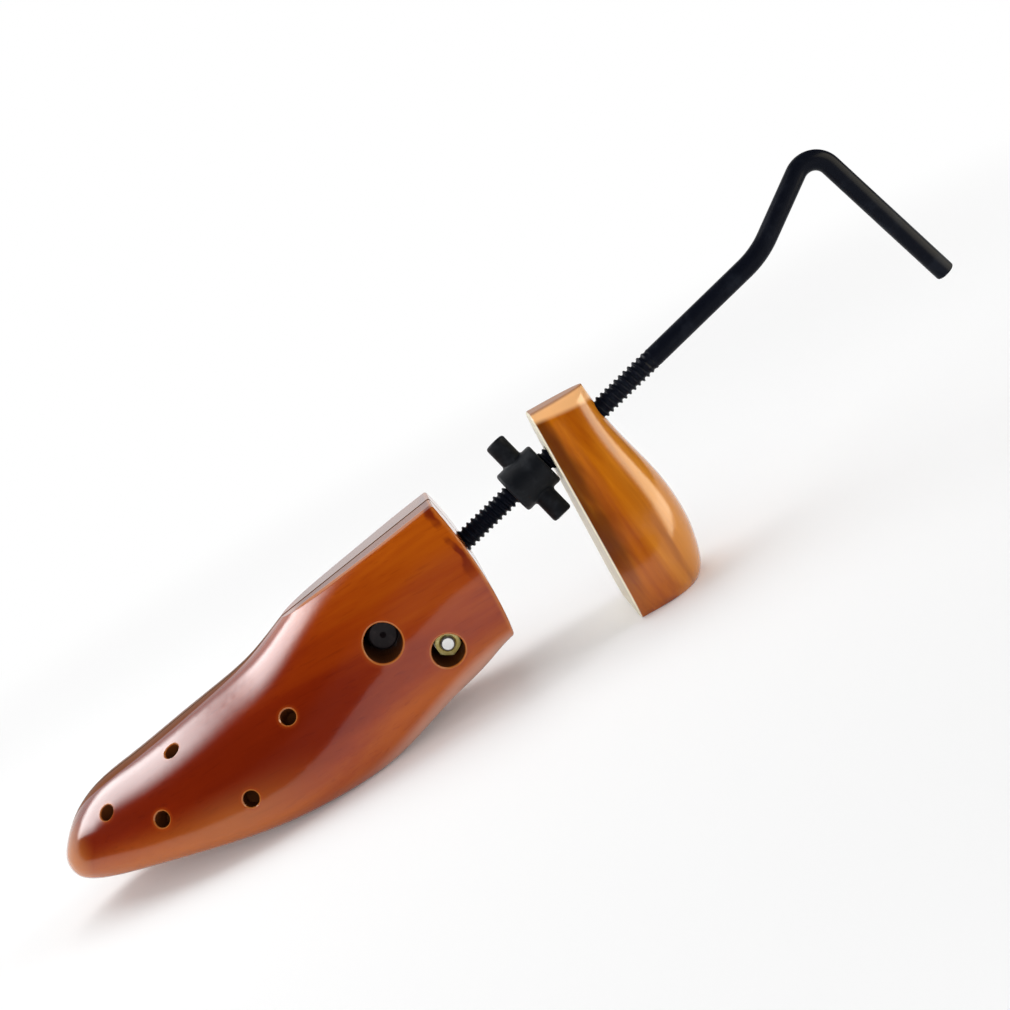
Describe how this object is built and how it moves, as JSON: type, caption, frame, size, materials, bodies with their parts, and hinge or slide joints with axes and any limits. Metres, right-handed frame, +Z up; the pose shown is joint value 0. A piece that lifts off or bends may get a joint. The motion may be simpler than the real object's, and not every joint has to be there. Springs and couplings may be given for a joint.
{
  "type": "two-way shoe stretcher",
  "caption": "Split wooden last and heel block joined by a threaded crank rod, which stretches a shoe in width and in length; holes take bunion plugs.",
  "frame": {"origin": "on the floor under the middle of the overall length, in the plane of the saw cut", "axes": "+X from the toe to the crank, +Y to the far side across the saw cut, +Z up"},
  "size_m": [0.4382, 0.0882, 0.1311],
  "materials": {
    "toe_wood": "glossy lacquer, deep reddish brown",
    "heel_wood": "glossy lacquer, honey orange",
    "plain_steel": "plain",
    "screw_steel": "zinc plated",
    "dark_steel": "blackened",
    "zinc_steel": "bright zinc",
    "yellow_zinc": "yellow zinc",
    "spring_steel": "drawn wire",
    "wedge_iron": "as cast",
    "black_steel": "glossy black",
    "black_casting": "satin black"
  },
  "bodies": {
    "core": {"barrel_nut": "dark_steel", "hinge_bolt": "zinc_steel", "hinge_nut": "yellow_zinc", "hinge_washer_near": "zinc_steel", "hinge_washer_far": "zinc_steel", "hinge_spring_near": "spring_steel", "hinge_spring_far": "spring_steel"},
    "near_half": {"toe_half_near": "toe_wood", "ramp_plate_near": "plain_steel", "ramp_screws_near": "screw_steel"},
    "far_half": {"toe_half_far": "toe_wood", "ramp_plate_far": "plain_steel", "ramp_screws_far": "screw_steel"},
    "spreader": {"spreader_wedge": "wedge_iron", "wedge_pin": "plain_steel"},
    "crank": {"crank_spindle": "black_steel"},
    "heel": {"heel_block": "heel_wood"},
    "nut": {"length_nut": "black_casting"}
  },
  "joints": [
    {"name": "near_spread", "type": "hinge", "parent": "core", "child": "near_half", "pos_m": [-0.01283, 0, 0.04735], "axis": [0, 0, 1], "range_deg": [0, 4.5], "deforming": ["hinge_spring_near"]},
    {"name": "far_spread", "type": "hinge", "parent": "core", "child": "far_half", "pos_m": [-0.01283, 0, 0.04735], "axis": [0, 0, -1], "range_deg": [0, 4.5], "deforming": ["hinge_spring_far"]},
    {"name": "spreader_slide", "type": "slide", "parent": "core", "child": "spreader", "axis": [-0.9656, 0, -0.2602], "range_m": [0, 0.02032]},
    {"name": "crank_turn", "type": "hinge", "parent": "spreader", "child": "crank", "pos_m": [-0.05773, 0, 0.04735], "axis": [-0.9656, 0, -0.2602], "range_deg": [0, 2880]},
    {"name": "heel_slide", "type": "slide", "parent": "core", "child": "heel", "axis": [0.9656, 0, 0.2602], "range_m": [-0.0203, 0.0203]},
    {"name": "nut_turn", "type": "hinge", "parent": "heel", "child": "nut", "pos_m": [0.02454, 0, 0.06952], "axis": [0.9656, 0, 0.2602], "range_deg": [-2880, 2880]}
  ],
  "couplings": [
    {"joint": "spreader_slide", "follows": "crank_turn", "m_per_rad": 0.00040425},
    {"joint": "near_spread", "follows": "crank_turn", "ratio": 0.0015625},
    {"joint": "far_spread", "follows": "crank_turn", "ratio": 0.0015625},
    {"joint": "nut_turn", "follows": "heel_slide", "rad_per_m": 2473.7}
  ]
}
